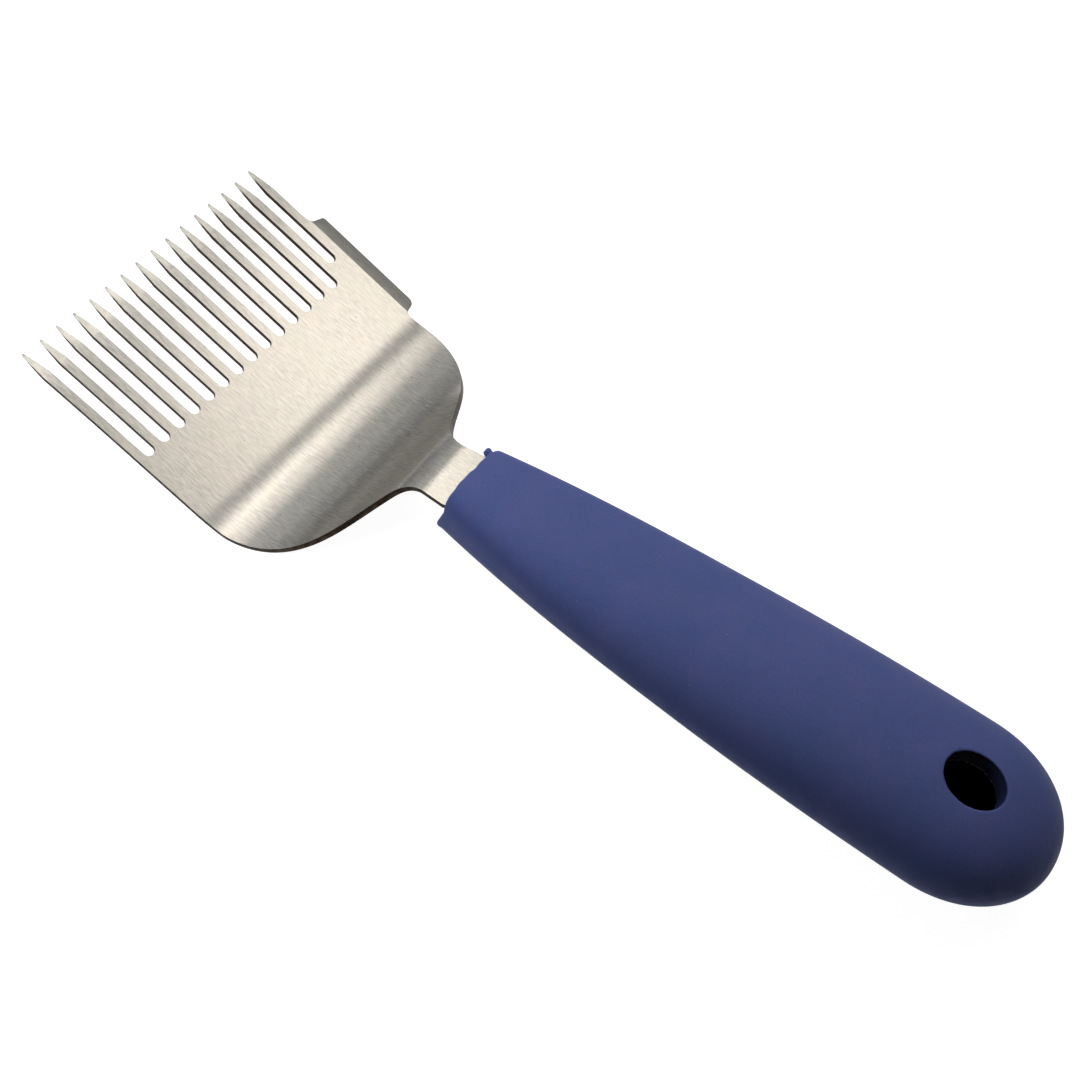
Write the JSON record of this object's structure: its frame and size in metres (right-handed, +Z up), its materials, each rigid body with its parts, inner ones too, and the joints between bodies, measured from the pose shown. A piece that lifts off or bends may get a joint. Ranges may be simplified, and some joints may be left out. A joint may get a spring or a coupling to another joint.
{
  "type": "uncapping fork",
  "caption": "Cranked steel comb of slim pointed tines with a bevel-ground side scraper edge, on a swelling soft-skinned handle with a hanging hole; lifts the wax cappings off honeycomb.",
  "frame": {"origin": "centre of the footprint of the whole fork, on the table it lies on, resting on the heel of the blade and the belly of the butt", "axes": "+X runs along the handle from the tine tips to the butt, +Z is up, and the scraper edge is on the +Y side"},
  "size_m": [0.2076, 0.0698, 0.0225],
  "materials": {
    "blade_steel": "stainless sheet, fine brushing along the tool, sheared edges darker",
    "core_plastic": "matte black moulded plastic",
    "grip_rubber": "matte dark blue soft-touch rubber"
  },
  "bodies": {
    "root": {"fork_blade": "blade_steel", "handle_core": "core_plastic", "handle_grip": "grip_rubber"}
  },
  "joints": []
}
